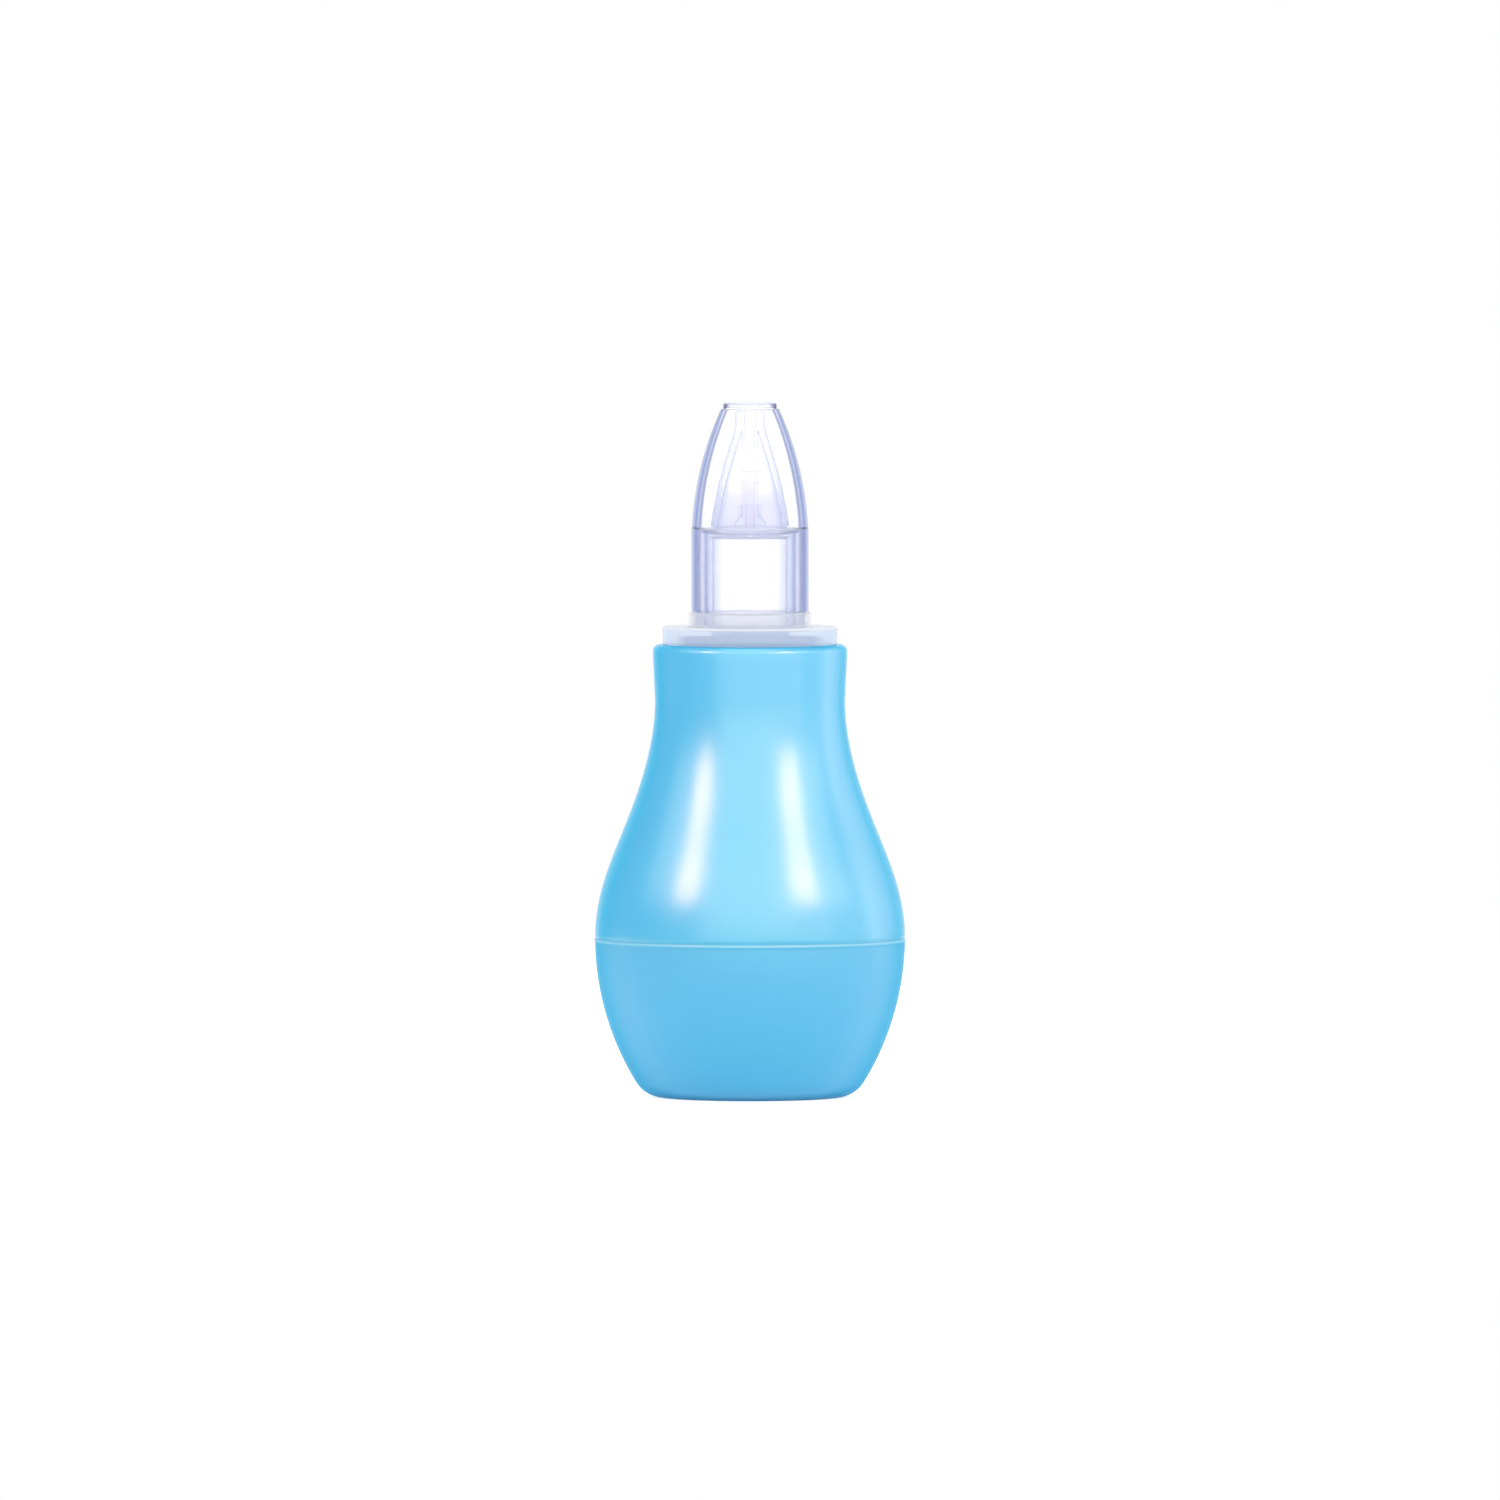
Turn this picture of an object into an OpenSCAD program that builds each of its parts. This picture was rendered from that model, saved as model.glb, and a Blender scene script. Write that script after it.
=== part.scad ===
// Squeeze-bulb nasal aspirator: soft two-part bulb, clear collar, standing backflow tube,
// nozzle and dust cap. All parts are round about the Z axis, and the foot rests on z = 0.

/* [Bulb] */
// Height of the bulb's mouth above the foot
bulb_h = 55.3; // [52:0.1:60]
// Radius of the belly at the seam
belly_r = 18.93; // [17.5:0.01:22]
// Height of the seam between the two halves
seam_z = 19.4; // [17:0.1:22]
// Smallest radius of the neck
waist_r = 11.6; // [11.2:0.1:13]
// Height of the smallest radius
waist_z = 48.5; // [46:0.1:50]
// Radius of the mouth's outer edge
mouth_r = 11.85; // [11.6:0.05:13]
// Wall thickness of the bulb
bulb_wall = 1.8; // [1.2:0.1:2]
// Radius of the arc that the lower half's side follows
side_arc_r = 33.5; // [28:0.5:40]
// Radius of the rounded corner round the foot
foot_corner_r = 3.8; // [2:0.1:5]

/* [Collar] */
// Radius of the flange that rests on the bulb's mouth
flange_r = 10.75; // [10.2:0.05:11.5]
// Thickness of the flange
flange_h = 2.2; // [1.8:0.1:3]
// Depth of the spigot inside the bulb's mouth
spigot_len = 9; // [6:0.5:10]
// Number of ribs that grip the mouth's bore
spigot_ribs = 3; // [2:1:4]
// Outer radius of the plug that carries the nozzle
plug_r = 5.4; // [5.2:0.1:5.5]
// Height of the plug's flat roof above the flange
plug_h = 11.4; // [9:0.1:11.4]

/* [Backflow tube] */
// Outer radius of the standing tube
tube_r = 1; // [0.9:0.05:1.1]
// Height of the tube above the plug's roof
tube_h = 8.1; // [7:0.1:9]
// Number of air windows round the tube's top
tube_windows = 2; // [1:1:3]

/* [Nozzle] */
// Radius of the straight tip
tip_r = 1.82; // [1.7:0.02:2]
// Height of the tip above the plug's roof
tip_h = 14.9; // [14.5:0.1:15.1]
// Radius of the nozzle where it meets its shoulder
nozzle_foot_r = 4.88; // [4.6:0.02:5]
// Wall thickness of the nozzle's cone
nozzle_wall = 0.85; // [0.7:0.05:1]

/* [Dust cap] */
// Outer radius of the cap's straight skirt
cap_r = 7.2; // [7.1:0.05:7.6]
// Outer radius of the rim at the cap's foot
cap_rim_r = 7.55; // [7.5:0.05:8]
// Height of the cap above the flange
cap_h = 27.5; // [27.4:0.1:29]
// Thickness of the cap's flat top
cap_top_t = 0.95; // [0.8:0.05:1.1]

/* [Hidden] */
$fn = 96;
e = 0.5;                // overrun of a cut past the face it opens
arc_steps = 20;         // straight steps along a drawn arc
bulb_colour = [0.46, 0.79, 0.96];
clear_colour = [0.88, 0.90, 0.98, 0.45];

// Running gaps, measured on the radius
fit_gap = 0.05;
cap_gap = 0.08;

// Bulb
sweep_lean = 0.025;     // pulls the shoulder's sweep slightly inwards half way up
mouth_edge_r = 1.3;     // rounding of the mouth's outer edge
foot_wall = 2.2;        // thickness of the foot
mouth_bore_len = 11;    // straight length of the mouth's bore
seam_bead_h = 0.32;     // height of the raised line at the seam
seam_bead_d = 0.07;     // how far the line stands out

// Collar
flange_taper = 0.12;    // the flange's lower edge is this much smaller
flange_edge = 0.25;     // bevel of the flange's upper edge
spigot_wall = 1.2;
rib_h = 1.1;
rib_d = 0.35;           // how far a rib stands out of the spigot
plug_wall = 0.95;
roof_t = 0.5;
web_t = 1.2;            // floor that joins the spigot to the plug
hub_wall = 0.45;        // wall of the socket that holds the standing tube
hub_h = 3.4;
gusset_count = 4;
gusset_reach = 1.3;
gusset_h = 2.5;
gusset_t = 0.5;

// Backflow tube
tube_bore_r = 0.55;
tube_cap_t = 0.7;       // closed end of the tube
window_h = 1.4;
window_w = 0.8;

// Nozzle
cone_arc_r = 58;        // radius of the arc that the cone's side follows
cone_arc_dz = 8.4;      // the arc's centre lies this far below the shoulder
tip_blend_dz = 3.2;     // the cone starts to straighten this far below the tip
tip_edge = 0.3;
tip_bore_r = 0.75;
drip_bore_r = 0.5;
drip_r = 1;
drip_dz = 4.6;          // length of the bore from the tip to the drip tube's end
skirt_wall = 0.85;
shoulder_h = 0.6;       // thickness of the shoulder, which rests on the plug's roof
skirt_lift = 0.3;       // the skirt stops this far above the flange
shoulder_edge = 0.4;

// Dust cap
rim_h = 1.7;
rim_edge = 0.2;
ogive_dz = 10;          // the cap is straight up to this height above the flange
ogive_r = 39.5;         // radius of the arc of the cap's outside
ogive_in_r = 42;        // radius of the arc of the cap's inside
ogive_wall = 1.15;      // wall where the ogive starts
cap_step_dz = 12.05;    // height of the inner ledge above the flange
button_r = 3.3;
button_h = 0.9;
button_edge = 0.5;

// Heights and radii that follow from the above
mouth_bore_r = mouth_r - 2.3;
spigot_r = mouth_bore_r - fit_gap;
flange_top = bulb_h + flange_h;
roof_top = flange_top + plug_h;
plug_bore_r = plug_r - plug_wall;
tube_top = roof_top + tube_h;
shoulder_top = roof_top + shoulder_h;
skirt_in_r = plug_r + fit_gap;
skirt_out_r = skirt_in_r + skirt_wall;
tip_top = roof_top + tip_h;
cap_top = flange_top + cap_h;
cap_bore_r = skirt_out_r + cap_gap;

// Points on an arc of radius r about [x, z], from angle a0 to a1
function arc(x, z, r, a0, a1) =
    [for (i = [0:arc_steps]) let (a = a0 + (a1 - a0) * i / arc_steps) [x + r * cos(a), z + r * sin(a)]];

// Centres of the side arc and of the foot's corner, and the angle at which one runs into the other
side_x = belly_r - side_arc_r;
corner_x = side_x + sqrt(pow(side_arc_r - foot_corner_r, 2) - pow(seam_z - foot_corner_r, 2));
corner_a = -atan2(seam_z - foot_corner_r, corner_x - side_x);

// Radius of the shoulder's sweep: half a cosine wave from the belly to the waist
function sweep_t(z) = let (t = (z - seam_z) / (waist_z - seam_z)) t + sweep_lean * pow(sin(180 * t), 2);
function sweep_r(z) = waist_r + (belly_r - waist_r) * (1 + cos(180 * sweep_t(z))) / 2;

// Points on the sweep from z0 to z1, inset by t
sweep_steps = 28;
function sweep(z0, z1, t) =
    [for (i = [0:sweep_steps]) let (z = z0 + (z1 - z0) * i / sweep_steps) [sweep_r(z) - t, z]];

// Solid of revolution of one outline
module lathe(points) {
    rotate_extrude() polygon(points);
}

// Ring whose section is the rectangle r0..r1 by z0..z1
module ring(r0, r1, z0, z1) {
    lathe([[r0, z0], [r1, z0], [r1, z1], [r0, z1]]);
}

// Side of the lower half, inset by t: rounded corner, then the side arc up to the seam
function lower_side(t) = concat(
    arc(corner_x, foot_corner_r, foot_corner_r - t, -90, corner_a),
    arc(side_x, seam_z, side_arc_r - t, corner_a, 0));

module bulb_lower() {
    color(bulb_colour) {
        difference() {
            lathe(concat([[0, 0]], lower_side(0), [[0, seam_z]]));
            lathe(concat([[0, foot_wall]], [for (p = lower_side(bulb_wall)) if (p[1] > foot_wall) p],
                [[belly_r - bulb_wall, seam_z + e], [0, seam_z + e]]));
        }
        // raised line left by the joint of the two halves
        ring(belly_r - bulb_wall / 2, belly_r + seam_bead_d, seam_z - seam_bead_h, seam_z);
    }
}

// Upper half: belly, shoulder, neck and mouth
module bulb_upper() {
    edge_z = bulb_h - mouth_edge_r;
    bore_z = bulb_h - mouth_bore_len;
    inner = [for (p = sweep(seam_z, bore_z, bulb_wall)) if (p[0] > mouth_bore_r) p];
    color(bulb_colour)
        difference() {
            lathe(concat([[0, seam_z]], sweep(seam_z, waist_z, 0),
                arc(mouth_r - mouth_edge_r, edge_z, mouth_edge_r, 0, 90), [[0, bulb_h]]));
            lathe(concat([[0, seam_z - e], [belly_r - bulb_wall, seam_z - e]], inner,
                [[mouth_bore_r, bore_z], [mouth_bore_r, bulb_h + e], [0, bulb_h + e]]));
        }
}

// Collar: flange, hollow plug with a roof and a socket on top, ribbed spigot below
module collar() {
    spigot_z = bulb_h - spigot_len;
    spigot_body_r = spigot_r - rib_d;
    plug_bore_top = roof_top - roof_t;
    web_z = flange_top - web_t;
    color(clear_colour) {
        difference() {
            union() {
                lathe([[plug_bore_r, bulb_h], [flange_r - flange_taper, bulb_h],
                    [flange_r, flange_top - flange_edge], [flange_r - flange_edge, flange_top],
                    [plug_bore_r, flange_top]]);
                ring(plug_bore_r, spigot_body_r, spigot_z, bulb_h + flange_edge);
            }
            translate([0, 0, spigot_z - e])
                cylinder(h = web_z - spigot_z + e, r = spigot_body_r - spigot_wall);
        }
        for (i = [0:spigot_ribs - 1]) spigot_rib(spigot_z + 1 + i * (spigot_len - 2) / spigot_ribs);
        difference() {
            ring(0, plug_r, web_z, roof_top);
            translate([0, 0, web_z - e]) cylinder(h = plug_bore_top - web_z + e, r = plug_bore_r);
            cylinder(h = roof_top + e, r = tube_bore_r);
        }
        socket();
    }
}

// One rib of the spigot: a ramp below that eases it into the mouth
module spigot_rib(z) {
    root_r = spigot_r - rib_d - spigot_wall / 2;
    lathe([[root_r, z], [spigot_r - rib_d, z], [spigot_r, z + rib_h / 2], [spigot_r, z + rib_h],
        [root_r, z + rib_h]]);
}

// Socket on the plug's roof that the standing tube is pressed into, with gussets round it
module socket() {
    ring(tube_r, tube_r + hub_wall, roof_top - roof_t / 2, roof_top + hub_h);
    for (i = [0:gusset_count - 1])
        rotate([0, 0, 45 + i * 360 / gusset_count]) gusset();
}

module gusset() {
    root = tube_r + hub_wall / 2;
    translate([0, gusset_t / 2, 0])
        rotate([90, 0, 0])
            linear_extrude(gusset_t)
                polygon([[root, roof_top - roof_t / 2], [root + gusset_reach, roof_top - roof_t / 2],
                    [root + gusset_reach, roof_top + gusset_h / 2], [root, roof_top + gusset_h]]);
}

// Standing tube: open at its foot, closed on top, with air windows in its sides
module backflow_tube() {
    window_z = tube_top - tube_cap_t - window_h;
    color(clear_colour)
        difference() {
            translate([0, 0, roof_top]) cylinder(h = tube_h, r = tube_r);
            translate([0, 0, roof_top - e]) cylinder(h = tube_h - tube_cap_t + e, r = tube_bore_r);
            for (i = [0:tube_windows - 1])
                rotate([0, 0, i * 360 / tube_windows])
                    translate([0, -window_w / 2, window_z]) cube([2 * tube_r, window_w, window_h]);
        }
}

// Nozzle: straight tip, cone, shoulder and skirt, with a drip tube hanging inside
cone_z = shoulder_top - cone_arc_dz;
cone_x = nozzle_foot_r - sqrt(pow(cone_arc_r, 2) - pow(cone_arc_dz, 2));
blend_a = asin((tip_top - tip_blend_dz - cone_z) / cone_arc_r);
blend_x = cone_x + cone_arc_r * cos(blend_a);
blend_r = (blend_x - tip_r) / (1 - cos(blend_a));
foot_a = asin(cone_arc_dz / cone_arc_r);

module nozzle_outside() {
    blend_z = tip_top - tip_blend_dz + blend_r * sin(blend_a);
    skirt_z = flange_top + skirt_lift;
    lathe(concat([[0, skirt_z], [skirt_out_r, skirt_z]],
        arc(skirt_out_r - shoulder_edge, shoulder_top - shoulder_edge, shoulder_edge, 0, 90),
        arc(cone_x, cone_z, cone_arc_r, foot_a, blend_a),
        arc(tip_r + blend_r, blend_z, blend_r, 180 + blend_a, 180),
        arc(tip_r - tip_edge, tip_top - tip_edge, tip_edge, 0, 90),
        [[0, tip_top]]));
}

module nozzle() {
    inner_r = cone_arc_r - nozzle_wall;
    inner_a0 = asin((roof_top - cone_z) / inner_r);
    inner_a1 = acos((drip_r - cone_x) / inner_r);
    drip_z = tip_top - drip_dz;
    color(clear_colour)
        difference() {
            nozzle_outside();
            // skirt's bore down to the open foot
            cylinder(h = roof_top, r = skirt_in_r);
            // chamber round the drip tube
            lathe(concat([[0, roof_top - e], [cone_x + inner_r * cos(inner_a0), roof_top - e]],
                arc(cone_x, cone_z, inner_r, inner_a0, inner_a1),
                [[drip_r, drip_z], [0, drip_z]]));
            // bore of the tip, narrowing to the drip tube's end
            lathe([[0, drip_z - e], [drip_bore_r, drip_z - e], [drip_bore_r, drip_z],
                [tip_bore_r, tip_top], [tip_bore_r, tip_top + e], [0, tip_top + e]]);
        }
}

// Dust cap: rim, straight skirt, ogive and a flat button on top
function ogive(a, r, z0, z1) =
    let (a0 = asin((z0 - flange_top - ogive_dz) / r), a1 = asin((z1 - flange_top - ogive_dz) / r))
    arc(a - r, flange_top + ogive_dz, r, a0, a1);

module dust_cap() {
    rim_top = flange_top + rim_h;
    button_z = cap_top - button_h;
    step_z = flange_top + cap_step_dz;
    color(clear_colour)
        difference() {
            lathe(concat([[0, flange_top], [cap_rim_r, flange_top]],
                arc(cap_rim_r - rim_edge, rim_top - rim_edge, rim_edge, 0, 90),
                [[cap_r, rim_top]],
                ogive(cap_r, ogive_r, flange_top + ogive_dz, button_z),
                [[button_r, button_z]],
                arc(button_r - button_edge, cap_top - button_edge, button_edge, 0, 90),
                [[0, cap_top]]));
            translate([0, 0, flange_top - e]) cylinder(h = cap_step_dz + e, r = cap_bore_r);
            lathe(concat([[0, step_z - e]],
                [[cap_r - ogive_wall, step_z - e]],
                ogive(cap_r - ogive_wall, ogive_in_r, step_z, cap_top - cap_top_t),
                [[0, cap_top - cap_top_t]]));
        }
}

bulb_lower();
bulb_upper();
collar();
backflow_tube();
nozzle();
dust_cap();
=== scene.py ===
import math

import bmesh
import bpy
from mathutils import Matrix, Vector, noise

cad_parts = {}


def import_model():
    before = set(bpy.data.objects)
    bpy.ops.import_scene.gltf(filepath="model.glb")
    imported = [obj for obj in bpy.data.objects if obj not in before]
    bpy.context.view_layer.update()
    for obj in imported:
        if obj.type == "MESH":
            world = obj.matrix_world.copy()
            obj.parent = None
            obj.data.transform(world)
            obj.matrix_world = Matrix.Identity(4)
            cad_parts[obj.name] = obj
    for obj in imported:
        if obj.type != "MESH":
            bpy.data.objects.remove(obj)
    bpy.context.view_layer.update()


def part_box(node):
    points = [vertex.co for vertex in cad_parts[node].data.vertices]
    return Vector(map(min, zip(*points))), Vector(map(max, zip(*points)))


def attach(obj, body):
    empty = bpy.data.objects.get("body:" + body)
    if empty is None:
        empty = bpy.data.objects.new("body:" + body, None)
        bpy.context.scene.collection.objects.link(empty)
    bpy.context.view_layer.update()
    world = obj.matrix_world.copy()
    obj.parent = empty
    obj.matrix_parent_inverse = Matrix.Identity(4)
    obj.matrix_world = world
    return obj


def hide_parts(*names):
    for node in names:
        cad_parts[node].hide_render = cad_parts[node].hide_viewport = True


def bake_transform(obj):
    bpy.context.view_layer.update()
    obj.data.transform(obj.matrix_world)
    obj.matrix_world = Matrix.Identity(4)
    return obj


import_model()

# A nasal aspirator: a soft blue bulb in two halves, a clear collar with a standing tube, a milky nozzle
# and a clear dust cap. Each piece is a turned outline in mm, (radius, height), with the foot at height 0.
MM = 0.001

# ---------------------------------------------------------------- sizes, from the frame
foot_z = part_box("bulb_lower")[0].z / MM
seam_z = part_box("bulb_lower")[1].z / MM
bead_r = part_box("bulb_lower")[1].x / MM
belly_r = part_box("bulb_upper")[1].x / MM
mouth_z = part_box("bulb_upper")[1].z / MM
spigot_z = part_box("collar")[0].z / MM
flange_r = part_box("collar")[1].x / MM
roof_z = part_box("backflow_tube")[0].z / MM
tube_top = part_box("backflow_tube")[1].z / MM
tube_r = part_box("backflow_tube")[1].y / MM
skirt_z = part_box("nozzle")[0].z / MM
skirt_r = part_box("nozzle")[1].x / MM
tip_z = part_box("nozzle")[1].z / MM
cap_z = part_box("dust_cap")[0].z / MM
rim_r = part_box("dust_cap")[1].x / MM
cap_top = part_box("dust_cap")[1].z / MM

# Sizes in mm that the boxes don't hold, the same as in the CAD model
wall = 1.8
waist_r, waist_z, sweep_lean = 11.6, 48.5, 0.025
mouth_r, bore_r, bore_len = 11.85, 9.55, 11.0
side_arc_r, corner_r, foot_wall = 33.5, 3.8, 2.2

# The upper bulb's lower edge and the lower bulb's upper one lie this far inside the belly's surface
tuck = 0.07

# Edges that turn by more than this are shaded crisp
CRISP = math.radians(35)


# ---------------------------------------------------------------- outlines and meshes
def arc(x, z, r, a0, a1, steps):
    """Points on an arc with its centre at (x, z), angles in degrees."""
    points = []
    for i in range(steps + 1):
        a = math.radians(a0 + (a1 - a0) * i / steps)
        points.append((x + r * math.cos(a), z + r * math.sin(a)))
    return points


def outline(corners, steps=5):
    """Rounds the corners of an outline. A corner is (r, z) or (r, z, fillet); a fillet also gets a
    support point on each side, so that smooth shading leaves the faces beside it flat."""
    side_share, support_share, nearly_straight = 0.48, 0.35, 0.01
    room = 2.1  # a side has support points when it is longer than this many reaches
    points = []
    last = len(corners) - 1
    for i, corner in enumerate(corners):
        fillet = corner[2] if len(corner) > 2 else 0
        if not fillet or i in (0, last):
            points.append((corner[0], corner[1]))
            continue
        p = Vector(corner[:2])
        before = Vector(corners[i - 1][:2]) - p
        after = Vector(corners[i + 1][:2]) - p
        half = before.angle(after) / 2
        if math.pi / 2 - half < nearly_straight:
            points.append(tuple(p))
            continue
        reach = min(fillet / math.tan(half), side_share * before.length, side_share * after.length)
        r = reach * math.tan(half)
        support = support_share * r
        to_before, to_after = before.normalized(), after.normalized()
        centre = p + (to_before + to_after).normalized() * (r / math.sin(half))
        start, end = p + to_before * reach, p + to_after * reach
        if before.length > room * reach + support:
            points.append(tuple(start + to_before * support))
        u, v = start - centre, end - centre
        turn = u.angle(v)
        for k in range(steps + 1):
            t = k / steps
            spoke = (u * math.sin((1 - t) * turn) + v * math.sin(t * turn)) / math.sin(turn)
            points.append(tuple(centre + spoke))
        if after.length > room * reach + support:
            points.append(tuple(end + to_after * support))
    return points


def piece_from(name, bm):
    bmesh.ops.recalc_face_normals(bm, faces=bm.faces)
    mesh = bpy.data.meshes.new(name)
    bm.to_mesh(mesh)
    bm.free()
    mesh.polygons.foreach_set("use_smooth", [True] * len(mesh.polygons))
    mesh.set_sharp_from_angle(angle=CRISP)
    piece = bpy.data.objects.new(name, mesh)
    bpy.context.scene.collection.objects.link(piece)
    return piece


def lathe(name, points, segments=160, closed=True, move=None):
    """A surface of revolution. Points on the axis become poles. closed joins the last point to the
    first, and move(r, z, angle) gives a point of a ring its own place."""
    on_axis = 1e-6
    bm = bmesh.new()
    rings = []
    for r, z in points:
        if r < on_axis:
            rings.append([bm.verts.new((0, 0, z * MM))])
            continue
        ring = []
        for k in range(segments):
            a = 2 * math.pi * k / segments
            rr, zz = move(r, z, a) if move else (r, z)
            ring.append(bm.verts.new((rr * math.cos(a) * MM, rr * math.sin(a) * MM, zz * MM)))
        rings.append(ring)
    pairs = list(zip(rings, rings[1:]))
    if closed:
        pairs.append((rings[-1], rings[0]))
    for lo, hi in pairs:
        if len(lo) == 1 and len(hi) == 1:
            continue
        for k in range(segments):
            j = (k + 1) % segments
            if len(lo) == 1:
                bm.faces.new((lo[0], hi[j], hi[k]))
            elif len(hi) == 1:
                bm.faces.new((lo[k], lo[j], hi[0]))
            else:
                bm.faces.new((lo[k], lo[j], hi[j], hi[k]))
    return piece_from(name, bm)


def prism(name, points, width, turn):
    """An outline in the XZ plane, drawn out along Y to the given width and turned about the Z axis."""
    c, s = math.cos(math.radians(turn)), math.sin(math.radians(turn))
    bm = bmesh.new()
    ends = []
    for y in (-width / 2, width / 2):
        places = [((c * x - s * y) * MM, (s * x + c * y) * MM, z * MM) for x, z in points]
        ends.append([bm.verts.new(place) for place in places])
    near, far = ends
    bm.faces.new(near)
    bm.faces.new(far)
    for k in range(len(points)):
        j = (k + 1) % len(points)
        bm.faces.new((near[k], near[j], far[j], far[k]))
    return piece_from(name, bm)


def combine(piece, tool, operation):
    """Cuts the tool out of the piece, or joins it on, and keeps the new edges crisp."""
    change = piece.modifiers.new("combine", "BOOLEAN")
    change.operation = operation
    change.solver = "EXACT"
    change.object = tool
    mesh = bpy.data.meshes.new_from_object(piece.evaluated_get(bpy.context.evaluated_depsgraph_get()))
    piece.modifiers.clear()
    piece.data = mesh
    mesh.name = piece.name
    mesh.set_sharp_from_angle(angle=CRISP)
    bpy.data.objects.remove(tool)


# ---------------------------------------------------------------- the bulb
def sweep_radius(z):
    """The upper bulb's outside: half a cosine wave from belly to waist that leans a little."""
    t = (z - seam_z) / (waist_z - seam_z)
    t += sweep_lean * math.sin(math.pi * t) ** 2
    return waist_r + (belly_r - waist_r) * (1 + math.cos(math.pi * t)) / 2


def sweep(z0, z1, inset, steps):
    return [(sweep_radius(z) - inset, z) for z in (z0 + (z1 - z0) * i / steps for i in range(steps + 1))]


def bulb_upper():
    """From the seam up the outside, round the mouth and down the bore and the inside. Just above the raised
    line the edge steps out from its tuck to the full radius."""
    flare, lip_fillet, bore_fillet = 1.6, 1.3, 0.3
    edge = [(belly_r - tuck, seam_z), (belly_r - tuck, seam_z + 0.1), (belly_r - 0.015, seam_z + 0.22)]
    outside = sweep(seam_z + 0.5, waist_z, 0, 70)
    mouth = outline([(waist_r, waist_z), (mouth_r, mouth_z - flare), (mouth_r, mouth_z, lip_fillet),
                     (bore_r, mouth_z, bore_fillet), (bore_r, mouth_z - bore_len)], 8)
    inside = [p for p in sweep(seam_z, mouth_z - bore_len, wall, 40) if p[0] > bore_r]
    return lathe("bulb_upper_skin", edge + outside + mouth[1:] + inside[::-1])


def bulb_lower():
    """The side is one arc that is upright at the seam, and the corner's arc touches side and foot. The
    raised line runs round the top edge. The inside follows the side and runs out flat over the foot."""
    line_h, line_mid, round_off = 0.42, 0.15, 0.012
    wander_r, wander_h, wander_pace, wander_slice = 0.03, 0.6, 6.0, 9.1
    side_x = belly_r - side_arc_r
    corner_x = side_x + math.sqrt((side_arc_r - corner_r) ** 2 - (seam_z - corner_r) ** 2)
    corner_a = -math.degrees(math.atan2(seam_z - corner_r, corner_x - side_x))

    def wander(r, z, a):
        """The raised line isn't an even ring: its reach wanders a little."""
        near = max(0.0, 1 - abs(z - seam_z + line_mid) / wander_h) if r > belly_r - 0.5 else 0.0
        spot = Vector((math.cos(a) * wander_pace, math.sin(a) * wander_pace, wander_slice))
        return r + near * wander_r * noise.noise(spot), z

    side = arc(side_x, seam_z, side_arc_r, corner_a, 0, 50)
    corner = arc(corner_x, corner_r, corner_r, -90, corner_a, 14)
    line = [(belly_r, seam_z - line_h), (bead_r - round_off, seam_z - 0.34), (bead_r, seam_z - 0.24),
            (bead_r - round_off, seam_z - 0.12), (belly_r - 0.01, seam_z - 0.03), (belly_r - tuck, seam_z)]
    outside = corner + [p for p in side if p[1] < seam_z - 0.45] + line
    inside = [(p[0] - wall, p[1]) for p in side if p[1] > foot_wall + 2.4][::-1]
    foot_in = inside[-1][0]
    bottom = [(foot_in - 0.5, foot_wall + 1.2), (foot_in - 1.6, foot_wall + 0.3), (foot_in - 3.0, foot_wall),
              (0, foot_wall)]
    return lathe("bulb_lower_skin", [(0, foot_z)] + outside + inside + bottom, closed=False, move=wander)


# ---------------------------------------------------------------- the clear parts
def collar():
    """Ribbed spigot, flange, hollow plug with a roof, and on the roof the hub and four gussets that hold
    the standing tube. Drawn from the spigot's foot up the outside and down the inside."""
    plug_r, plug_in, spigot_r = 5.4, 4.45, 9.5
    spigot_wall, web_t, roof_t = 1.2, 1.2, 0.5
    ribs, first_rib, rib_span = 3, spigot_z + 1, 7
    rib_depth, rib_rise, rib_h = 0.35, 0.55, 1.1
    hub_r, hub_z, hole = tube_r + 0.45, roof_z + 3.4, 0.55
    gusset_r, gusset_w, gusset_t = tube_r + 0.22, 1.3, 0.5
    top = cap_z
    body = spigot_r - rib_depth
    points = [(body, spigot_z, 0.2)]
    for i in range(ribs):
        z = first_rib + i * rib_span / ribs
        points += [(body, z, 0.05), (spigot_r, z + rib_rise, 0.1), (spigot_r, z + rib_h, 0.1),
                   (body, z + rib_h, 0.05)]
    points += [
        (body, mouth_z, 0.1), (flange_r - 0.12, mouth_z, 0.2), (flange_r, top - 0.25, 0.15),
        (flange_r - 0.25, top, 0.2), (plug_r, top, 0.15), (plug_r, roof_z, 0.15),
        (hub_r, roof_z, 0.15), (hub_r, hub_z, 0.1), (tube_r, hub_z, 0.05), (tube_r, roof_z, 0.03),
        (hole, roof_z, 0.03), (hole, roof_z - roof_t, 0.1), (plug_in, roof_z - roof_t, 0.25),
        (plug_in, top - web_t, 0.15), (body - spigot_wall, top - web_t, 0.3),
        (body - spigot_wall, spigot_z, 0.1)]
    piece = lathe("collar_clear", outline(points + [points[0]])[:-1])
    gusset = outline([(gusset_r, roof_z - 0.25), (gusset_r + gusset_w, roof_z - 0.25),
                      (gusset_r + gusset_w, roof_z + 1.25, 0.15), (gusset_r, roof_z + 2.5)])
    for turn in (45, 135, 225, 315):
        combine(piece, prism("gusset", gusset, gusset_t, turn), "UNION")
    return piece


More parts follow.
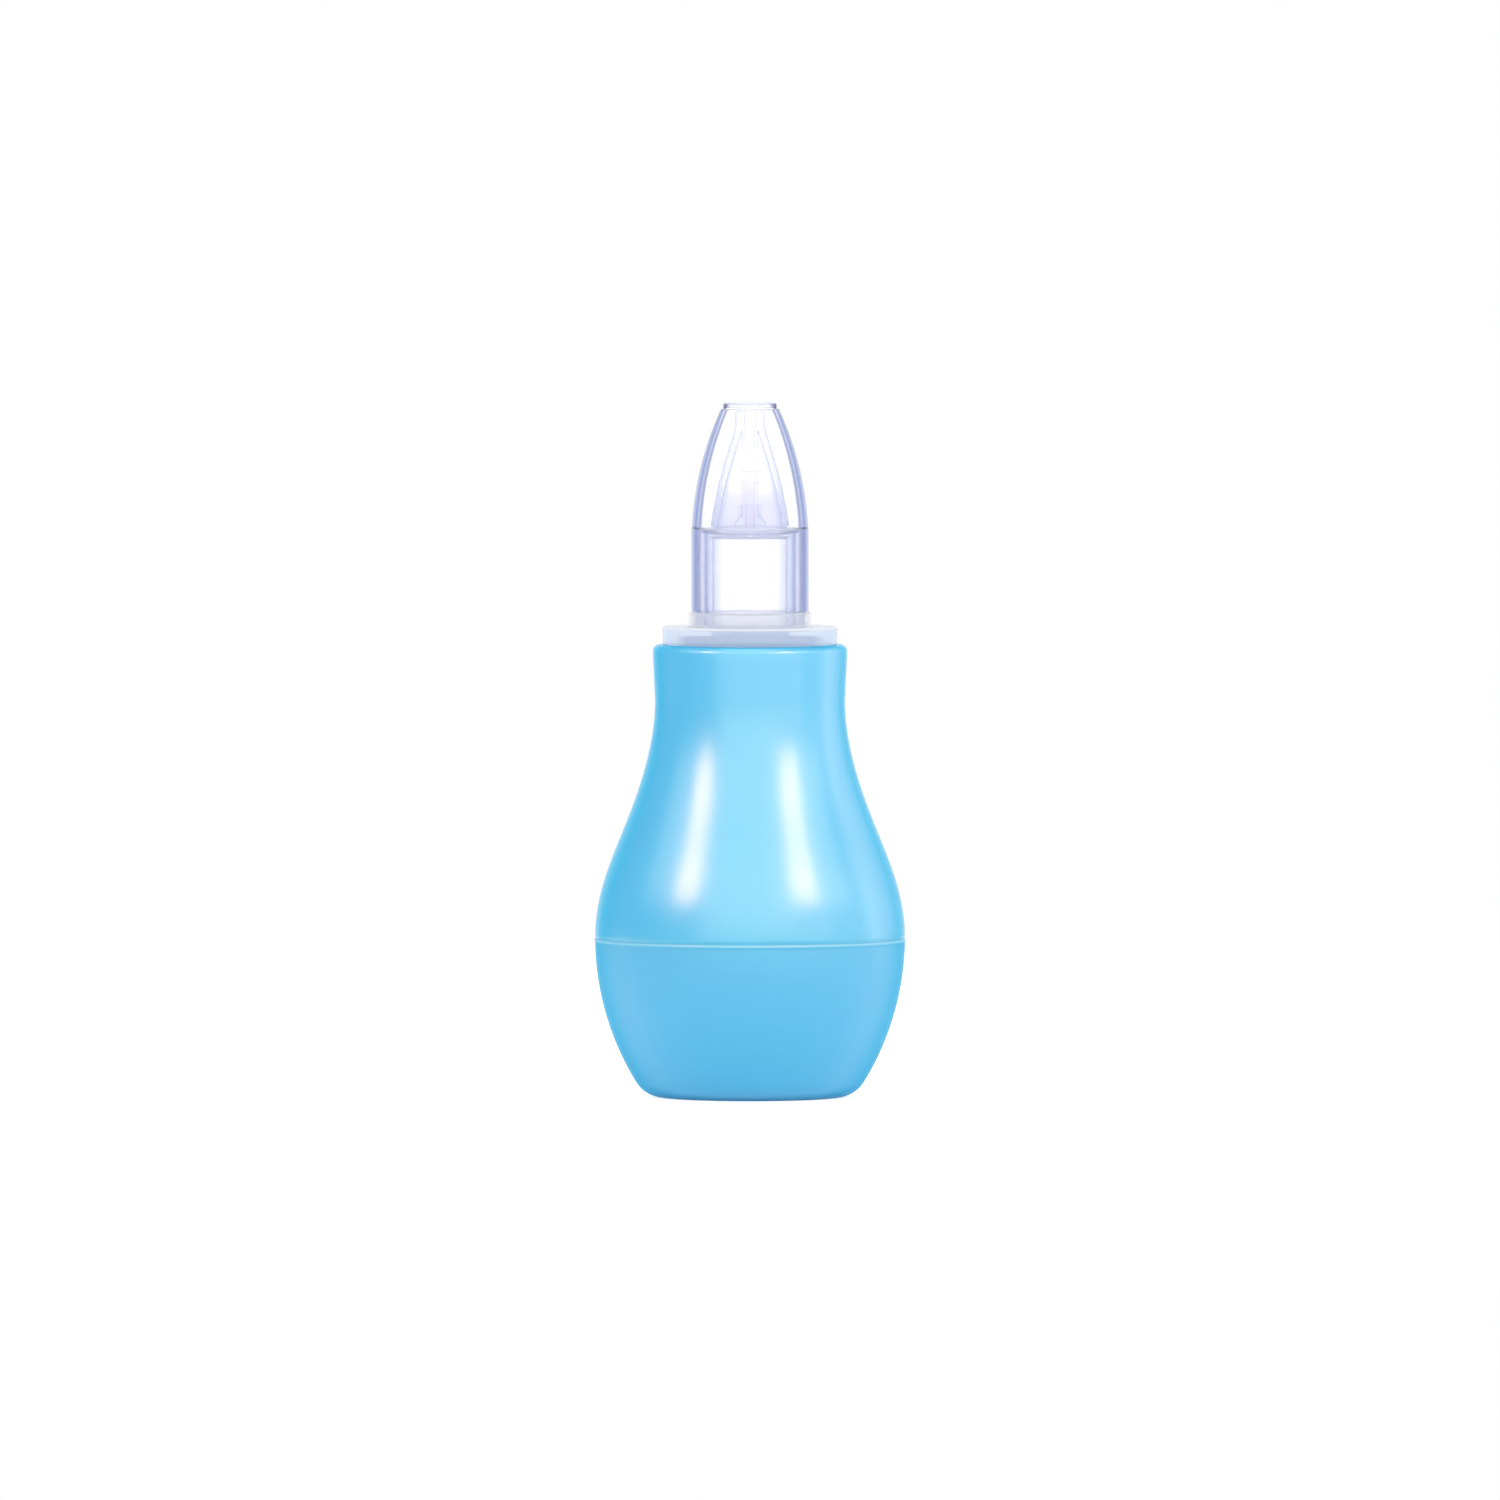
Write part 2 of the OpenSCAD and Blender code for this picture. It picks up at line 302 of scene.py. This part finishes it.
def nozzle():
    """Skirt that goes over the plug, shoulder, cone with a hollow blend up to the straight tip, and in
    the cone the chamber with the drip tube hanging into it."""
    skirt_bore, shoulder = 5.45, roof_z + 0.6
    cone_foot, cone_r, cone_dz, cone_wall = 4.88, 58.0, 8.4, 0.85
    tip_r, blend_z, tip_hole = 1.82, tip_z - 3.2, 0.75
    drip_r, drip_z, drip_hole = 1.0, tip_z - 4.6, 0.5
    cone_z = shoulder - cone_dz
    cone_x = cone_foot - math.sqrt(cone_r ** 2 - cone_dz ** 2)
    a0 = math.degrees(math.asin(cone_dz / cone_r))
    a1 = math.degrees(math.asin((blend_z - cone_z) / cone_r))
    blend_x = cone_x + cone_r * math.cos(math.radians(a1))
    blend_r = (blend_x - tip_r) / (1 - math.cos(math.radians(a1)))
    blend_top = blend_z + blend_r * math.sin(math.radians(a1))
    in_r = cone_r - cone_wall
    in_a0 = math.degrees(math.asin((roof_z - cone_z) / in_r))
    in_a1 = math.degrees(math.acos((drip_r - cone_x) / in_r))
    points = [(skirt_bore, skirt_z + 0.5), (skirt_bore, skirt_z, 0.15), (skirt_r, skirt_z, 0.2),
              (skirt_r, shoulder, 0.4), (cone_foot + 0.02, shoulder, 0.12)]
    points += arc(cone_x, cone_z, cone_r, a0 + 0.3, a1, 30)
    points += arc(tip_r + blend_r, blend_top, blend_r, 180 + a1, 180, 8)[1:]
    points += [(tip_r, tip_z, 0.32), (tip_hole, tip_z, 0.15), (drip_hole, drip_z, 0.1),
               (drip_r, drip_z, 0.15)]
    chamber = arc(cone_x, cone_z, in_r, in_a1, in_a0, 26)
    points += chamber[:-1] + [(*chamber[-1], 0.06), (skirt_bore, roof_z, 0.1)]
    return lathe("nozzle_milky", outline(points))


def backflow_tube():
    """A tube with a closed top, and under the top an air window on each side."""
    hole, top_t = 0.55, 0.7
    window_half, window_h = 0.8 / 2, 1.4
    window_top = tube_top - top_t
    window_foot = window_top - window_h
    outside = [(hole, roof_z + 0.2), (hole, roof_z, 0.04), (tube_r, roof_z, 0.04), (tube_r, tube_top, 0.2),
               (0, tube_top)]
    inside = [(0, window_top), (hole, window_top, 0.12), (hole, roof_z + 0.4)]
    piece = lathe("backflow_tube_clear", outline(outside) + outline(inside), 64)
    window = outline([(0, window_foot), (window_half, window_foot, 0.15), (window_half, window_top, 0.15),
                      (-window_half, window_top, 0.15), (-window_half, window_foot, 0.15),
                      (0, window_foot)])[:-1]
    combine(piece, prism("windows", window, 3 * tube_r, 90), "DIFFERENCE")
    return piece


def dust_cap():
    """Outside: rim, straight wall, ogive and button. Inside: the ogive's hollow down to the ledge that
    stops the nozzle's shoulder, and the bore below it."""
    wall_r, bore, in_wall = 7.2, 6.38, 1.15
    rim_top, straight, ledge = cap_z + 1.7, cap_z + 10, cap_z + 12.05
    out_r, in_r = 39.5, 42.0
    button_r, button_z, hollow_top = 3.3, cap_top - 0.9, cap_top - 0.95
    out_a1 = math.degrees(math.asin((button_z - straight) / out_r))
    in_a0 = math.degrees(math.asin((ledge - straight) / in_r))
    in_a1 = math.degrees(math.asin((hollow_top - straight) / in_r))
    outside = [(bore, cap_z + 0.6), (bore, cap_z, 0.15), (rim_r, cap_z, 0.2), (rim_r, rim_top, 0.2),
               (wall_r, rim_top, 0.12), (wall_r, straight - 1.0), (wall_r, straight)]
    outside += arc(wall_r - out_r, straight, out_r, 1, out_a1, 36)
    outside += [(button_r, button_z, 0.06), (button_r, cap_top - 0.1, 0.5), (button_r * 0.5, cap_top),
                (0, cap_top)]
    hollow = arc(wall_r - in_wall - in_r, straight, in_r, in_a1, in_a0, 36)
    inside = [(0, hollow_top), (1.2, hollow_top), (*hollow[0], 0.3)] + hollow[1:-1]
    inside += [(*hollow[-1], 0.1), (bore, ledge, 0.15), (bore, cap_z + 1.2)]
    return lathe("dust_cap_clear", outline(outside) + outline(inside))


# ---------------------------------------------------------------- materials
def new_material(name):
    material = bpy.data.materials.new(name)
    material.use_nodes = True
    tree = material.node_tree
    tree.nodes.clear()
    return material, tree, tree.nodes.new("ShaderNodeOutputMaterial")


def mixed(tree, amount, low, high):
    """A colour between low and high. Each is a colour or a colour socket."""
    mix = tree.nodes.new("ShaderNodeMix")
    mix.data_type = "RGBA"
    tree.links.new(amount, mix.inputs[0])
    for end, value in ((6, low), (7, high)):
        if isinstance(value, tuple):
            mix.inputs[end].default_value = (*value, 1)
        else:
            tree.links.new(value, mix.inputs[end])
    return mix.outputs[2]


def either(tree, amount, low, high):
    """A shader between two shader nodes."""
    mix = tree.nodes.new("ShaderNodeMixShader")
    tree.links.new(amount, mix.inputs[0])
    tree.links.new(low.outputs[0], mix.inputs[1])
    tree.links.new(high.outputs[0], mix.inputs[2])
    return mix


def ramp(tree, value, start, end, low=0.0, high=1.0, kind="SMOOTHSTEP"):
    """Runs from low at start to high at end, and stays level beyond."""
    step = tree.nodes.new("ShaderNodeMapRange")
    step.interpolation_type = kind
    for label, number in (("From Min", start), ("From Max", end), ("To Min", low), ("To Max", high)):
        step.inputs[label].default_value = number
    tree.links.new(value, step.inputs["Value"])
    return step.outputs["Result"]


def maths(tree, operation, *values):
    step = tree.nodes.new("ShaderNodeMath")
    step.operation = operation
    for socket, value in zip(step.inputs, values):
        tree.links.new(value, socket)
    return step.outputs[0]


def cloudy(tree, place, scale, detail):
    """A soft noise that is fixed to the piece."""
    cloud = tree.nodes.new("ShaderNodeTexNoise")
    cloud.inputs["Scale"].default_value = scale
    cloud.inputs["Detail"].default_value = detail
    tree.links.new(place, cloud.inputs["Vector"])
    return cloud.outputs["Fac"]


def part_of(tree, vector, axis):
    split = tree.nodes.new("ShaderNodeSeparateXYZ")
    tree.links.new(vector, split.inputs[0])
    return split.outputs[axis]


def slant(tree):
    """0 where a surface is seen square on and 1 where it is seen edge on."""
    layer = tree.nodes.new("ShaderNodeLayerWeight")
    layer.inputs["Blend"].default_value = 0.5
    return layer.outputs["Facing"]


def soft_plastic(name, colour, deep, rough, coat, rim, line=None):
    """Soft coloured rubber: a faintly clouded tint under the skin, a broad sheen and a fine grain.
    rim is the stronger colour of the skin where it is seen edge on, with the two slants between which
    it sets in. The sheen runs down there too. line is the height of the top of the thin raised line;
    there the skin is painted lighter, a painted highlight for the light that the line catches and lets
    through."""
    # Painted highlight on the thin raised line: its colour, and the depths below the line's top over which
    # it fades in
    line_highlight_colour, highlight_from, highlight_full = (0.20, 0.64, 0.90), 0.40, 0.30
    sheen_from, sheen_gone = 0.4, 0.7
    material, tree, out = new_material(name)
    bsdf = tree.nodes.new("ShaderNodeBsdfPrincipled")
    place = tree.nodes.new("ShaderNodeTexCoord").outputs["Object"]
    body = mixed(tree, cloudy(tree, place, 70, 3), deep, colour)
    body = mixed(tree, ramp(tree, slant(tree), rim[1], rim[2]), body, rim[0])
    # Painted highlight: the top of the raised line is painted lighter
    if line:
        line_highlight = ramp(tree, part_of(tree, place, "Z"), (line - highlight_from) * MM, (line - highlight_full) * MM)
        body = mixed(tree, line_highlight, body, line_highlight_colour)
    tree.links.new(body, bsdf.inputs["Base Color"])
    bump = tree.nodes.new("ShaderNodeBump")
    bump.inputs["Strength"].default_value = 0.06
    bump.inputs["Distance"].default_value = 0.0001
    tree.links.new(cloudy(tree, place, 1800, 2), bump.inputs["Height"])
    tree.links.new(bump.outputs["Normal"], bsdf.inputs["Normal"])
    bsdf.inputs["Roughness"].default_value = rough
    bsdf.inputs["IOR"].default_value = 1.5
    bsdf.inputs["Coat Roughness"].default_value = 0.40
    bsdf.inputs["Subsurface Weight"].default_value = 0.3
    bsdf.inputs["Subsurface Radius"].default_value = (0.6, 0.9, 1.0)
    bsdf.inputs["Subsurface Scale"].default_value = 0.003
    for layer, full, least in (("Specular IOR Level", 0.5, 0.04), ("Coat Weight", coat, 0.0)):
        tree.links.new(ramp(tree, slant(tree), sheen_from, sheen_gone, full, least), bsdf.inputs[layer])
    tree.links.new(bsdf.outputs[0], out.inputs["Surface"])
    return material


def clear_plastic(name, face, edge, reach, rough, haze, ior, first=False, band=None, tint=None, cloud=0.0):
    """Clear moulded plastic with a little haze. face is its tint seen square on. edge is a painted shade
    on upright walls seen edge on: a colour that stands in for the dark lilac band that refraction and
    reflection give such a wall. reach is the height above which the edge shade is painted and the two
    slants between which it sets in; first: only what the camera sees directly has it. Between the middle
    two of the four heights in band the plastic has the given tint and the haze cloud. Level faces, such
    as ledges and the undersides of rims, are frosted. Shadow rays pass through it."""
    frost, frost_clear, frost_rough = (0.94, 0.95, 0.99), 0.3, 0.45
    level_from, level_full, upright_to, upright_gone = 0.47, 0.72, 0.5, 0.8
    shadow_tint = (0.93, 0.94, 0.97, 1)
    material, tree, out = new_material(name)
    bsdf = tree.nodes.new("ShaderNodeBsdfPrincipled")
    bsdf.inputs["IOR"].default_value = ior
    place = tree.nodes.new("ShaderNodeTexCoord").outputs["Object"]
    path = tree.nodes.new("ShaderNodeLightPath")
    z = part_of(tree, place, "Z")
    normal = tree.nodes.new("ShaderNodeNewGeometry").outputs["Normal"]
    lean = maths(tree, "ABSOLUTE", part_of(tree, normal, "Z"))
    level = ramp(tree, lean, level_from, level_full)
    # Painted edge shade: the mask for where the edge colour is painted, on upright walls seen edge on above
    # the reach height
    above = ramp(tree, z, (reach[0] - 0.2) * MM, (reach[0] + 0.2) * MM)
    upright = maths(tree, "MULTIPLY", ramp(tree, lean, upright_to, upright_gone, 1.0, 0.0), above)
    rim = maths(tree, "MULTIPLY", ramp(tree, slant(tree), reach[1], reach[2]), upright)
    if first:
        rim = maths(tree, "MULTIPLY", rim, path.outputs["Is Camera Ray"])
    clearness = ramp(tree, level, 0.0, 1.0, 1.0 - haze, frost_clear)
    if band:
        low, low_full, high_full, high = (limit * MM for limit in band)
        over, under = ramp(tree, z, low, low_full), ramp(tree, z, high_full, high, 1.0, 0.0)
        inside = maths(tree, "MULTIPLY", over, under)
        face = mixed(tree, inside, face, tint)
        clearness = maths(tree, "MULTIPLY", clearness, ramp(tree, inside, 0.0, 1.0, 1.0, 1.0 - cloud))
    face = mixed(tree, level, face, frost)
    # The edge colour, a painted shade, goes over the face colour where rim is
    tree.links.new(mixed(tree, rim, face, edge), bsdf.inputs["Base Color"])
    tree.links.new(clearness, bsdf.inputs["Transmission Weight"])
    flow = ramp(tree, cloudy(tree, place, 160, 2), 0.0, 1.0, rough * 0.6, rough * 1.4)
    roughness = maths(tree, "ADD", flow, ramp(tree, level, 0.0, 1.0, 0.0, frost_rough))
    tree.links.new(roughness, bsdf.inputs["Roughness"])
    clear = tree.nodes.new("ShaderNodeBsdfTransparent")
    clear.inputs["Color"].default_value = shadow_tint
    mix = either(tree, path.outputs["Is Shadow Ray"], bsdf, clear)
    tree.links.new(mix.outputs[0], out.inputs["Surface"])
    return material


# Both halves are the same blue plastic. The satin half's lower green and blue are painted shade for the less
# light on its downward face, and its higher red is painted light from below.
gloss = soft_plastic("bulb_gloss_blue", (0.050, 0.53, 0.84), deep=(0.040, 0.505, 0.815), rough=0.25,
                     coat=1.0, rim=((0.030, 0.49, 0.80), 0.35, 0.75))
satin = soft_plastic("bulb_satin_blue", (0.080, 0.51, 0.81), deep=(0.070, 0.485, 0.785), rough=0.45,
                     coat=0.3, rim=((0.035, 0.45, 0.76), 0.66, 0.8), line=seam_z)
# edge is each clear part's painted shade on its walls seen edge on
cap_clear = clear_plastic("cap_clear", face=(1.0, 1.0, 1.0), edge=(0.06, 0.10, 0.34),
                          reach=(cap_z + 1.8, 0.40, 0.62), rough=0.015, haze=0.0, ior=1.49, first=True,
                          band=(0, 1, cap_z + 1.5, cap_z + 1.8), tint=(1.0, 1.0, 1.0), cloud=0.25)
collar_clear = clear_plastic("collar_clear", face=(1.0, 1.0, 1.0), edge=(0.80, 0.83, 0.93),
                             reach=(cap_z, 0.36, 0.42), rough=0.05, haze=0.02, ior=1.12,
                             band=(0, 1, cap_z - 0.1, cap_z + 0.3), tint=(0.80, 0.88, 1.0), cloud=0.42)
tube_clear = clear_plastic("tube_clear", face=(0.95, 0.93, 0.97), edge=(0.75, 0.73, 0.85),
                           reach=(0, 0.4, 0.6), rough=0.05, haze=0.08, ior=1.12)
milky = clear_plastic("nozzle_milky", face=(0.985, 0.98, 0.99), edge=(0.66, 0.69, 0.87),
                      reach=(skirt_z, 0.42, 0.52), rough=0.18, haze=0.06, ior=1.12,
                      band=(roof_z, roof_z + 0.8, roof_z + 3, roof_z + 7), tint=(0.93, 0.92, 0.97),
                      cloud=0.15)


# ---------------------------------------------------------------- the pieces on their bodies
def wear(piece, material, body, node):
    """Gives a piece its looks and its body, and hides the CAD node that it stands for. A piece given no
    body is left unattached here."""
    piece.data.materials.append(material)
    if body:
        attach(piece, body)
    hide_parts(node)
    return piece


bulb = bpy.data.collections.new("bulb")
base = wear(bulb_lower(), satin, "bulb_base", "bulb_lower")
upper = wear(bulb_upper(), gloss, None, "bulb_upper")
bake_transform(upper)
bulb.objects.link(base)
bulb.objects.link(upper)
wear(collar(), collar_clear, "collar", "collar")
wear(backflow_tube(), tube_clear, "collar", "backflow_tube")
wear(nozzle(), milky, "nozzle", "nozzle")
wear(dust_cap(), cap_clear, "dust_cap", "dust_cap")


# ---------------------------------------------------------------- light, floor and camera
# Colour of the room by direction: 0 is behind the camera, 0.5 at the sides, 1 straight behind the object
ROOM = [(0.0, (0.75, 0.78, 0.85)), (0.45, (0.50, 0.54, 0.68)), (0.62, (0.42, 0.47, 0.72)),
        (0.865, (0.42, 0.47, 0.72)), (0.915, (1.25, 1.25, 1.25)), (1.0, (1.25, 1.25, 1.25))]

# Soft boxes that only the bulb reflects: name, azimuth, elevation, width, height, radiance and colour
BULB_BOXES = [
    ("veil", 0, 29, 0.95, 0.50, 2.8, (1.0, 0.85, 0.50)),
    ("front", 11, -2, 1.75, 0.30, 2.1, (1.0, 0.85, 0.55)),
    ("side_right", 82, 4, 0.75, 0.55, 1.3, (1.0, 0.85, 0.6)),
    ("edge_right", 122, 7, 0.60, 0.60, 1.5, (1.0, 0.80, 0.6)),
    ("strip_left", -53, 30, 0.22, 0.24, 18, (1.0, 0.50, 0.25)),
    ("strip_right", 46, 30, 0.22, 0.24, 18, (1.0, 0.50, 0.25)),
    ("glow_left", -74, 31, 0.45, 0.35, 1.8, (1.0, 0.85, 0.7)),
    ("glow_right", 66, 31, 0.45, 0.35, 2.6, (1.0, 0.85, 0.7)),
]


def world():
    """White straight behind the object, as a paper backdrop, and a lilac-blue room round it. Matt
    surfaces get an even white fill instead, so that the soft bulb is lit as in a light tent."""
    scene_world = bpy.data.worlds.new("studio")
    bpy.context.scene.world = scene_world
    scene_world.use_nodes = True
    tree = scene_world.node_tree
    tree.nodes.clear()
    out = tree.nodes.new("ShaderNodeOutputWorld")
    direction = tree.nodes.new("ShaderNodeTexCoord").outputs["Generated"]
    depth = ramp(tree, part_of(tree, direction, "Y"), -1.0, 1.0, kind="LINEAR")
    colours = tree.nodes.new("ShaderNodeValToRGB")
    stops = colours.color_ramp.elements
    for at, colour in ROOM[1:-1]:
        stops.new(at).color = (*colour, 1)
    for stop, (at, colour) in ((stops[0], ROOM[0]), (stops[-1], ROOM[-1])):
        stop.position = at
        stop.color = (*colour, 1)
    tree.links.new(depth, colours.inputs["Fac"])
    room = tree.nodes.new("ShaderNodeBackground")
    tree.links.new(colours.outputs["Color"], room.inputs["Color"])
    white = tree.nodes.new("ShaderNodeBackground")
    white.inputs["Color"].default_value = (1, 1, 1, 1)
    path = tree.nodes.new("ShaderNodeLightPath")
    matt = either(tree, path.outputs["Is Diffuse Ray"], room, white)
    seen = either(tree, path.outputs["Is Camera Ray"], matt, white)
    tree.links.new(seen.outputs[0], out.inputs["Surface"])


def soft_box(name, azimuth, elevation, wide, high, radiance, colour=(1, 1, 1), only=None):
    """A soft box placed by its angle from the camera's side and aimed at the bulb. It is seen in
    reflections and doesn't light matt surfaces. only: the collection that reflects it."""
    away, aim = 0.7, Vector((0, 0, 0.035))
    data = bpy.data.lights.new(name, "AREA")
    data.shape = "RECTANGLE"
    data.size, data.size_y = wide, high
    data.energy = radiance * math.pi * wide * high
    data.color = colour
    lamp = bpy.data.objects.new(name, data)
    a, e = math.radians(azimuth), math.radians(elevation)
    lamp.location = aim + away * Vector((math.sin(a) * math.cos(e), -math.cos(a) * math.cos(e), math.sin(e)))
    lamp.rotation_euler = (aim - lamp.location).to_track_quat("-Z", "Y").to_euler()
    lamp.visible_diffuse = False
    if only:
        lamp.light_linking.receiver_collection = only
    bpy.context.scene.collection.objects.link(lamp)
    return lamp


def floor():
    """White paper disc that the camera sees evenly lit, with a faint shadow where the object stands.
    It fades out before the horizon, where the white backdrop takes over."""
    radius, fade_from, drop = 0.42, 0.25, 0.00002
    seen_glow, bounced_glow = 0.72, 0.05
    material, tree, out = new_material("floor_white")
    white = tree.nodes.new("ShaderNodeBsdfDiffuse")
    white.inputs["Color"].default_value = (0.9, 0.9, 0.9, 1)
    glow = tree.nodes.new("ShaderNodeEmission")
    path = tree.nodes.new("ShaderNodeLightPath")
    strength = ramp(tree, path.outputs["Is Diffuse Ray"], 0.0, 1.0, seen_glow, bounced_glow, "LINEAR")
    tree.links.new(strength, glow.inputs["Strength"])
    both = tree.nodes.new("ShaderNodeAddShader")
    tree.links.new(white.outputs[0], both.inputs[0])
    tree.links.new(glow.outputs[0], both.inputs[1])
    distance = tree.nodes.new("ShaderNodeVectorMath")
    distance.operation = "LENGTH"
    tree.links.new(tree.nodes.new("ShaderNodeTexCoord").outputs["Object"], distance.inputs[0])
    fade = ramp(tree, distance.outputs["Value"], fade_from, radius, kind="LINEAR")
    open_air = tree.nodes.new("ShaderNodeBsdfTransparent")
    mix = either(tree, fade, both, open_air)
    tree.links.new(mix.outputs[0], out.inputs["Surface"])
    rim = [(radius * math.cos(math.radians(a)), radius * math.sin(math.radians(a)), 0)
           for a in range(0, 360, 5)]
    mesh = bpy.data.meshes.new("floor")
    mesh.from_pydata(rim, [], [list(range(len(rim)))])
    mesh.materials.append(material)
    disc = bpy.data.objects.new("floor", mesh)
    disc.location.z = -drop
    bpy.context.scene.collection.objects.link(disc)


def camera():
    """Looks at the aim point from far off and slightly above, with frame_h metres of height in view."""
    frame_h, distance, elevation = 0.1832, 4.0, math.radians(2.3)
    sensor, aim = 36, Vector((0, 0, 0.0424))
    data = bpy.data.cameras.new("camera")
    data.sensor_width = sensor
    data.lens = sensor * distance / frame_h
    data.clip_end = 20
    eye = bpy.data.objects.new("camera", data)
    eye.location = aim + distance * Vector((0, -math.cos(elevation), math.sin(elevation)))
    eye.rotation_euler = (aim - eye.location).to_track_quat("-Z", "Y").to_euler()
    bpy.context.scene.collection.objects.link(eye)
    bpy.context.scene.camera = eye


world()
for box in BULB_BOXES:
    soft_box(*box, only=bulb)
soft_box("top", 0, 72, 0.6, 0.5, 3)
# The key lights matt surfaces and is not seen in reflections
key = soft_box("key", 35, 40, 0.8, 0.8, 0.25)
key.visible_diffuse, key.visible_glossy, key.visible_transmission = True, False, False
floor()
camera()
bpy.context.scene.view_settings.view_transform = "Standard"
# The clear parts lie inside one another, so a ray crosses many walls
bpy.context.scene.cycles.max_bounces = 40
bpy.context.scene.cycles.transmission_bounces = 40
